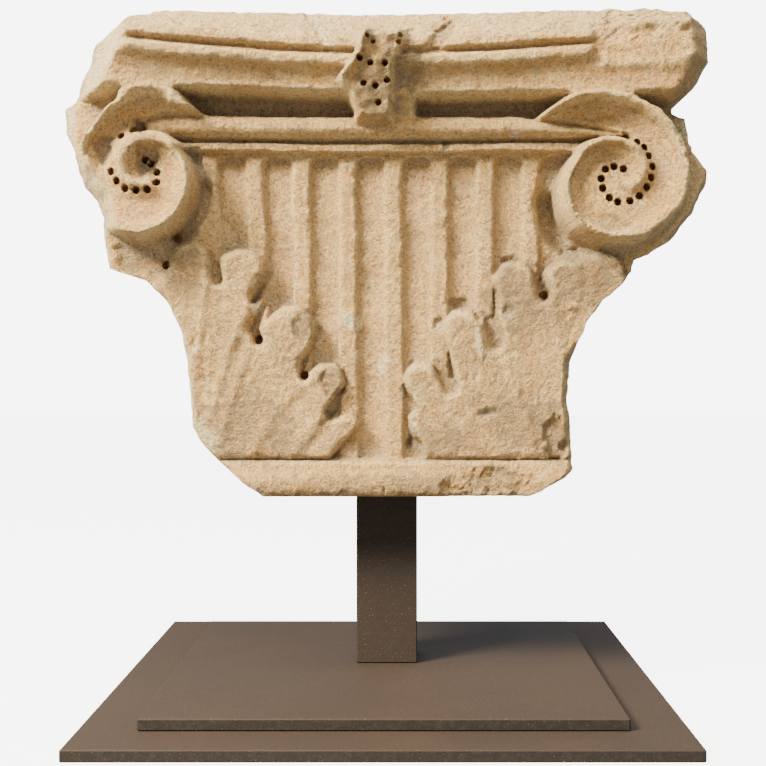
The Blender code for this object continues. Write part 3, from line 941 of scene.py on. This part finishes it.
class SteelPart(Enum):
    """The steel pieces of the stand."""

    BASE_PLATE = "stand_base_plate"
    UPPER_PLATE = "stand_upper_plate"
    POST = "stand_post"


@dataclass
class Stand:
    """The steel stand, whose solids are kept and get their finish."""

    top_brown: Triple = (0.021, 0.0105, 0.0062)
    top_orange: Triple = (0.028, 0.0135, 0.0070)
    upright_brown: Triple = (0.008, 0.0040, 0.0024)
    post_brown: Triple = (0.018, 0.0085, 0.0048)

    def dress(self) -> None:
        """Gives each steel piece its rusted finish."""
        plate = SteelFinish("rusted plate", self.top_brown, self.upright_brown, self.top_orange).material()
        post = SteelFinish("rusted post", self.post_brown, self.post_brown, self.top_orange).material()
        for part in SteelPart:
            slots = bpy.data.objects[part.value].material_slots
            slots[0].material = post if part is SteelPart.POST else plate
            LOG.info("%s dressed", part.value)


@dataclass
class CarvedStone:
    """The capital itself, built as one fine mesh."""

    underside: float
    columns: int = 306
    rows: int = 260
    side_rows: int = 8
    back_rings: int = 4
    outline: Outline = field(default_factory=Outline)
    breaks: Breaks = field(default_factory=Breaks)
    bell: Bell = field(default_factory=Bell)
    bands: Bands = field(default_factory=Bands)
    abacus: Abacus = field(default_factory=Abacus)
    fleuron: Fleuron = field(default_factory=Fleuron)
    roll: Roll = field(default_factory=Roll)
    left_leaf: Leaf = field(default_factory=lambda: Leaf(
        lobes=(((-228, 30), (-232, 226), 46, 26, 12), ((-185, 30), (-100, 44), 44, 24, 9),
               ((-212, 130), (-213, 253), 44, 26, 17), ((-190, 110), (-159, 244), 46, 28, 19),
               ((-170, 110), (-142, 203), 38, 13, 15), ((-160, 80), (-104, 183), 40, 27, 19),
               ((-140, 70), (-99, 148), 32, 11, 14), ((-128, 56), (-66, 125), 36, 22, 18),
               ((-100, 40), (-42, 80), 28, 12, 12)),
        slots=(((-185, 238), (-187, 256), (-194, 284), 5.2, 4.5),
               ((-145, 214), (-135, 227), (-122, 245), 2.4, 3),
               ((-140, 172), (-145, 184), (-133, 212), 4.5, 2.5),
               ((-90, 133), (-90, 146), (-80, 160), 4.5, 2.5), ((-63, 91), (-54, 106), (-40, 122), 4.5, 3)),
        ribs=(((-196, 232), (-206, 170), (-214, 90)), ((-152, 208), (-172, 160), (-192, 90)),
              ((-148, 164), (-166, 120), (-184, 60)), ((-98, 126), (-122, 92), (-146, 48)),
              ((-70, 86), (-88, 64), (-104, 46)))))
    right_leaf: Leaf = field(default_factory=lambda: Leaf(
        lobes=(((205, 50), (218, 180), 46, 44, 10), ((170, 40), (70, 50), 46, 30, 7),
               ((190, 120), (198, 234), 44, 27, 14), ((230, 150), (234, 236), 40, 32, 12),
               ((172, 110), (142, 236), 48, 23, 16), ((150, 110), (112, 184), 38, 13, 9),
               ((135, 80), (83, 184), 42, 21, 15), ((110, 60), (38, 129), 42, 19, 12),
               ((105, 50), (44, 80), 34, 20, 7)),
        slots=(((174, 221), (169, 240), (162, 262), 5.2, 3), ((121, 171), (117, 188), (112, 214), 8, 6),
               ((71, 121), (64, 134), (56, 152), 8, 7)),
        ribs=(((182, 214), (192, 150), (198, 90)), ((128, 160), (146, 110), (162, 60)),
              ((82, 110), (106, 76), (130, 44)))))
    left_volute: Volute = field(default_factory=lambda: Volute(
        centre=(-259, 352), side=-1,
        radii=(128, 84, 77, 67, 66, 70, 70, 60, 50, 39, 29, 24, 20, 18, 17, 16),
        rim=((-62, 6, 6), (-40, 11, 13), (0, 12, 15), (45, 12, 12), (180, 10, 7), (240, 10, 9), (300, 11, 9),
             (330, 14, 9), (360, 18, 11), (405, 20, 11), (450, 17, 10), (540, 9, 8), (585, 6, 5)),
        holes=((-268, 394), (-280, 387), (-290, 349), (-284, 339), (-275, 331), (-263.5, 329),
               (-252, 330), (-243, 338), (-243, 349), (-250, 359), (-256, 363)),
        crescent=((-180, 0), (-62, 0), (-52, 7), (-30, 7), (0, 6), (30, 5), (60, 3), (90, 0)),
        tail=-62.0, gap_width=15.0, gap_depth=12.0))
    right_volute: Volute = field(default_factory=lambda: Volute(
        centre=(249.8, 339.6), side=1,
        radii=(129, 106, 86, 77, 70, 65, 61.5, 65.7, 60, 50, 40, 31, 18, 6),
        rim=((-56, 6, 6), (-40, 11, 12), (0, 13, 14), (30, 16, 11), (60, 16, 4), (120, 12, 0), (180, 10, 0),
             (205, 10, 6), (240, 12, 12), (330, 10, 11), (400, 9, 8), (450, 10, 6), (495, 8, 2)),
        holes=((257.5, 387), (267.5, 381), (275, 375), (279, 366), (283, 354.5), (281.5, 343), (277, 333),
               (270, 324), (260, 318.5), (247, 317.5), (238, 322), (231, 332), (229.5, 342), (234, 352),
               (243, 355), (253, 352.5)),
        crescent=((-180, 0), (-60, 0), (-48, 9), (-25, 11), (0, 9), (30, 6), (60, 3), (90, 0)),
        tail=-55.0, gap_width=26.0, gap_depth=18.0))
    drill_radius: float = 5.4
    drill_depth: float = 10.0
    drill_reach: float = 120.0
    drill_taper: float = 0.8
    drill_sides: int = 14
    wave_height: float = 1.6
    wave_width: float = 38.0
    crown: Point = (474.0, 492.0)
    crown_rough: float = 5.0
    # Heights over which painted shade grows towards the foot of the roll.
    shaded_foot: Point = (24.0, 8.0)
    kept_edge: float = 2.2
    sand_rough: float = 0.95
    sand_fine: float = 0.75
    side_rough: float = 3.5
    back_rough: float = 2.5
    side_paleness: float = 0.5
    middle_height: float = 0.3
    drill_ends: tuple[Point, ...] = ((-230, 284), (-241, 254), (-140, 172), (-90, 133), (174, 221))

    def carved(self, x: np.ndarray, h: np.ndarray) -> tuple[np.ndarray, dict[str, np.ndarray]]:
        """Carves the face.

        Args:
            x: Places across the face.
            h: Places up the face.

        Returns:
            How far forward the face stands, and the tones of its broken places.
        """
        tones = {tone: np.zeros_like(x) for tone in Tone}
        fluted = self.bell.surface(x, h)
        tones[Tone.PINK] = np.clip((self.bell.plain(h) - fluted) / 5.0, 0.0, 1.0)
        face = self.left_leaf.apply(x, h, fluted, self.bell)
        face = self.right_leaf.apply(x, h, face, self.bell)
        tones[Tone.UMBER] = ease(0.0, 3.0, face - fluted)
        face = self.bands.apply(x, h, face)
        face = self.left_volute.apply(x, h, face, self.bands)
        face = self.right_volute.apply(x, h, face, self.bands)
        face = self.abacus.apply(x, h, face)
        face = self.fleuron.apply(x, h, face)
        face = self.roll.apply(x, h, face, self.bell)
        face = face + self.wave_height * unevenness(x, h, self.wave_width, 7)
        broken_top = ease(*self.crown, h)
        face = face + broken_top * self.crown_rough * rubble(x, h * 1.6, 30.0, 8)
        for scar in SCARS:
            share = scar.share(x, h)
            crumbled = min(abs(scar.depth) * 0.35, 1.2) * rubble(x, h, 11.0, 93)
            face = face - share * (scar.depth + crumbled)
            tones[scar.tone] = np.maximum(tones[scar.tone], share)
        face, lost = self.breaks.apply(x, h, face, self.outline)
        # Painted shade: grey on the roll's underside, stronger towards the foot.
        tones[Tone.GREY] = np.maximum(tones[Tone.GREY], ease(*self.shaded_foot, h) * 0.8)
        # Pale broken stone on the left breaks and broken top, partly painted highlight where they face the
        # light.
        tones[Tone.CREAM] = np.maximum(tones[Tone.CREAM], np.maximum(lost * (x < 0), broken_top * 0.45))
        # Painted shade: the broken faces on the right, turned away from the light, are greyed.
        tones[Tone.GREY] = np.maximum(tones[Tone.GREY], lost * (x > 0) * (h > 150) * 0.8)
        return face, tones

    @staticmethod
    def blurred(sheet: np.ndarray, width: int) -> np.ndarray:
        """Averages a sheet of values over its neighbours.

        Args:
            sheet: Rows and columns of values.
            width: How many neighbours each way.

        Returns:
            The smoothed sheet.
        """
        for axis in (0, 1):
            padding = [(width, width) if axis == side else (0, 0) for side in (0, 1)]
            padded = np.pad(sheet, padding, mode="edge")
            count = sheet.shape[axis]
            parts = [np.take(padded, range(shift, shift + count), axis) for shift in range(2 * width + 1)]
            sheet = sum(parts) / len(parts)
        return sheet

    def worn(self, sheet: np.ndarray, x: np.ndarray, h: np.ndarray) -> np.ndarray:
        """Wears the sharp edges down unevenly and roughens the face where it isn't steep.

        Args:
            sheet: Forward of each point, in rows and columns.
            x: Places across the face.
            h: Places up the face.

        Returns:
            The worn sheet.
        """
        steep = np.clip(sum(np.abs(slope) for slope in np.gradient(sheet)) / 4.0, 0.0, 1.0)
        sheet = sheet + (self.blurred(sheet, 1) - sheet) * steep * 0.2
        kept = self.kept_edge * (1.0 - np.clip(unevenness(x, h, 11.0, 21) + 0.45, 0.0, 1.0))
        sheet = np.minimum(sheet, self.blurred(sheet, 2) + kept)
        rough = self.sand_rough * rubble(x, h, 10.0, 22) + self.sand_fine * unevenness(x, h, 4.5, 23)
        return sheet + rough * (1.0 - 0.8 * steep)

    def build(self) -> bpy.types.Object:
        """Builds the mesh of the capital.

        Returns:
            The finished piece.
        """
        bm = bmesh.new()
        names = [tone.value for tone in Tone] + ["edge"]
        layers = [bm.verts.layers.float.new(name) for name in names]
        bmesh.ops.create_grid(bm, x_segments=self.columns, y_segments=self.rows, size=1.0)
        order = sorted(bm.verts, key=lambda vert: (round(vert.co.y, 5), round(vert.co.x, 5)))
        shape = (self.rows + 1, self.columns + 1)
        across = np.array([vert.co.x for vert in order]).reshape(shape) * 0.5 + 0.5
        up = np.array([vert.co.y for vert in order]).reshape(shape) * 0.5 + 0.5
        x, h = self.outline.placed(across, up)
        face, tones = self.carved(x, h)
        sheet = self.worn(face, x, h)
        # Painted shade: points that sit below their neighbours get the recess shade tint.
        around = np.maximum(self.blurred(sheet, 3), self.blurred(sheet, 9))
        hollow = np.clip((around - sheet - 1.5) / 8.0, 0.0, 1.0)
        tones[Tone.DARK] = np.maximum(tones[Tone.DARK], hollow)
        edge = np.clip((sheet - self.blurred(sheet, 2)) / 2.0, 0.0, 1.0)
        settled = h + self.abacus.settle(x, h)
        values = np.stack([*(tones[tone] for tone in Tone), edge], axis=-1).reshape(-1, len(layers))
        for vert, place_x, place_h, forward, kept in zip(order, x.flat, settled.flat, sheet.flat, values):
            vert.co = (place_x * MM, -forward * MM, place_h * MM)
            for layer, value in zip(layers, kept):
                vert[layer] = value
        self._close_behind(bm, layers[0])
        bmesh.ops.recalc_face_normals(bm, faces=bm.faces[:])
        bmesh.ops.translate(bm, vec=(0.0, 0.0, self.underside), verts=bm.verts)
        for face_item in bm.faces:
            face_item.smooth = True
        piece = linked(bm, "capital_stone")
        self._drill(piece)
        return piece

    def _ring(self, front: np.ndarray, step: int) -> np.ndarray:
        """Places one ring of points behind the rim of the face.

        Args:
            front: The rim's own places, in metres.
            step: Which ring, counted from the rim.

        Returns:
            The places of the ring.
        """
        depth_back = self.outline.back_depth * MM
        places = front.copy()
        inward = np.array([0.0, 0.0, self.middle_height]) - front * (1.0, 0.0, 1.0)
        if step <= self.side_rows:
            share = step / self.side_rows
            places[:, 1] += (depth_back - places[:, 1]) * share
            u, v = (front[:, 0] + 1.3 * front[:, 2]) / MM, places[:, 1] / MM
            rough = self.side_rough * (1.0 - rubble(u, v, 34.0, 91)) * (front[:, 2] > 0.002) * share ** 0.5
            return places + inward / np.linalg.norm(inward, axis=1)[:, None] * rough[:, None] * MM
        places += inward * (step - self.side_rows) / (self.back_rings + 1)
        dent = self.back_rough * (1.0 - rubble(places[:, 0] / MM, places[:, 2] / MM, 46.0, 95))
        places[:, 1] = depth_back - dent * MM
        return places

    def _close_behind(self, bm: bmesh.types.BMesh, broken: bmesh.types.BMLayerItem) -> None:
        """Draws the rim of the sheet back into rough sides, and closes the back with rings.

        Args:
            bm: The mesh, with the sheet alone in it.
            broken: The layer that says how pale a point is.
        """
        rim = [edge for edge in bm.edges if edge.is_boundary]
        number = {}
        for edge in rim:
            for vert in edge.verts:
                number.setdefault(vert, len(number))
        front = np.array([vert.co for vert in number])
        for step in range(1, self.side_rows + self.back_rings + 1):
            grown = bmesh.ops.extrude_edge_only(bm, edges=rim)
            verts = [item for item in grown["geom"] if isinstance(item, bmesh.types.BMVert)]
            rim = [item for item in grown["geom"] if isinstance(item, bmesh.types.BMEdge)
                   and item.is_boundary]
            places = self._ring(front, step)
            following = {}
            for vert in verts:
                linked = (edge.other_vert(vert) for edge in vert.link_edges)
                following[vert] = next(number[other] for other in linked if other in number)
                vert.co = places[following[vert]]
                vert[broken] = self.side_paleness
            number = following
        bmesh.ops.holes_fill(bm, edges=rim, sides=0)

    def _drill(self, piece: bpy.types.Object) -> None:
        """Cuts the drilled holes.

        Args:
            piece: The stone.
        """
        bm = bmesh.new()
        flower = self.fleuron
        sets = [(form.holes, form.hole_radius, form.hole_depth, form.hole_reach)
                for form in (self.left_volute, self.right_volute, flower)]
        sets.append((flower.small_holes, flower.small_radius, flower.small_depth, flower.small_reach))
        sets.append((self.drill_ends, self.drill_radius, self.drill_depth, self.drill_reach))
        for places, radius, depth, reach in sets:
            for hole_x, hole_h in places:
                x, h = np.array([[hole_x]], dtype=float), np.array([[hole_h]], dtype=float)
                floor = float(self.carved(x, h)[0][0, 0]) - depth
                made = bmesh.ops.create_cone(bm, cap_ends=True, cap_tris=False, segments=self.drill_sides,
                                             radius1=radius * MM, radius2=radius * self.drill_taper * MM,
                                             depth=(reach - floor) * MM)
                bmesh.ops.rotate(bm, verts=made["verts"], cent=(0, 0, 0),
                                 matrix=Matrix.Rotation(radians(90.0), 3, "X"))
                place = (hole_x * MM, -(reach + floor) / 2 * MM, self.underside + hole_h * MM)
                bmesh.ops.translate(bm, vec=place, verts=made["verts"])
        bmesh.ops.recalc_face_normals(bm, faces=bm.faces[:])
        drill = linked(bm, "drill")
        cut = piece.modifiers.new("drilled", "BOOLEAN")
        cut.operation, cut.solver, cut.object = "DIFFERENCE", "MANIFOLD", drill
        bpy.context.view_layer.update()
        finished = bpy.data.meshes.new_from_object(piece.evaluated_get(bpy.context.evaluated_depsgraph_get()))
        piece.modifiers.clear()
        piece.data = finished
        finished.name = "capital_stone"
        bpy.data.objects.remove(drill, do_unlink=True)


@dataclass
class Studio:
    """Pale floor, soft light and the camera at the photo's place."""

    eye: Triple = (0.0187, -1.4858, 0.367)
    lens: float = 60.25
    shift: tuple[float, float] = (-0.0261, -0.0218)
    floor_half: float = 8.0
    floor_level: float = -0.0005
    floor_white: float = 0.2
    glow: float = 6.0
    daylight: float = 0.8
    cool: Triple = (0.86, 0.93, 1.0)
    warm: Triple = (1.0, 0.885, 0.64)
    lamps: dict[str, tuple[Triple, float, float]] = field(default_factory=lambda: {
        "key": ((-2.1, -1.7, 2.3), 1.0, 560.0), "overhead": ((-0.2, -1.5, 3.1), 2.4, 190.0)})
    aim: Triple = (0.0, 0.0, 0.45)

    def build(self) -> None:
        """Sets up floor, light and camera."""
        bm = bmesh.new()
        bmesh.ops.create_grid(bm, x_segments=1, y_segments=1, size=self.floor_half)
        floor = linked(bm, "floor")
        floor.location.z = self.floor_level
        floor.data.materials.append(self._floor_white())
        self._sky()
        for name, (place, size, power) in self.lamps.items():
            self._lamp(name, place, size, power)
        camera = bpy.data.cameras.new("camera")
        camera.lens, camera.sensor_width = self.lens, 36.0
        camera.shift_x, camera.shift_y = self.shift
        seat = bpy.data.objects.new("camera", camera)
        seat.location = self.eye
        seat.rotation_euler = (radians(90.0), 0.0, 0.0)
        bpy.context.scene.collection.objects.link(seat)
        bpy.context.scene.camera = seat

    def _floor_white(self) -> bpy.types.Material:
        """Builds the floor's white, which the camera sees as bright as the background.

        Returns:
            The material.
        """
        paint = Paint(bpy.data.materials.new("floor white"))
        shader = paint.tree.nodes["Principled BSDF"]
        shader.inputs["Base Color"].default_value = (self.floor_white,) * 3 + (1.0,)
        shader.inputs["Roughness"].default_value = 0.9
        shader.inputs["Emission Strength"].default_value = self.glow
        seen = paint.node("ShaderNodeLightPath", {}, {}, "Is Camera Ray")
        paint.tree.links.new(seen.socket, shader.inputs["Emission Color"])
        return paint.holder

    def _sky(self) -> None:
        """Lights the scene evenly from all sides, with a brighter white behind the object."""
        paint = Paint(bpy.data.worlds.new("soft white"))
        seen = paint.node("ShaderNodeLightPath", {}, {}, "Is Camera Ray")
        tints = ((self.cool, self.daylight), ((1.0, 1.0, 1.0), self.glow + 1.0))
        light, backdrop = (
            paint.node("ShaderNodeBackground", {}, {"Color": (*tint, 1.0), "Strength": strength})
            for tint, strength in tints)
        mixed = paint.node("ShaderNodeMixShader", {}, {0: seen, 1: light, 2: backdrop})
        paint.tree.links.new(mixed.socket, paint.tree.nodes["World Output"].inputs["Surface"])
        bpy.context.scene.world = paint.holder

    def _lamp(self, name: str, place: Triple, size: float, power: float) -> None:
        """Adds a square soft light that looks at the stone.

        Args:
            name: The lamp's name.
            place: Where it hangs.
            size: Its width.
            power: Its power in watts.
        """
        light = bpy.data.lights.new(name, "AREA")
        light.energy, light.size, light.color = power, size, self.warm
        lamp = bpy.data.objects.new(name, light)
        lamp.location = place
        lamp.rotation_euler = (Vector(self.aim) - Vector(place)).to_track_quat("-Z", "Y").to_euler()
        bpy.context.scene.collection.objects.link(lamp)


def main() -> None:
    """Builds the piece, dresses the stand and sets the studio."""
    logging.basicConfig(level=logging.INFO)
    low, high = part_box("pilaster_capital")
    stone = CarvedStone(underside=low[2])
    piece = stone.build()
    piece.data.materials.clear()
    piece.data.materials.append(StoneFinish().material())
    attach(piece, "root")
    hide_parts("pilaster_capital")
    LOG.info("capital_stone: %d faces", len(piece.data.polygons))
    Stand().dress()
    Studio().build()


if __name__ == "__main__":
    main()
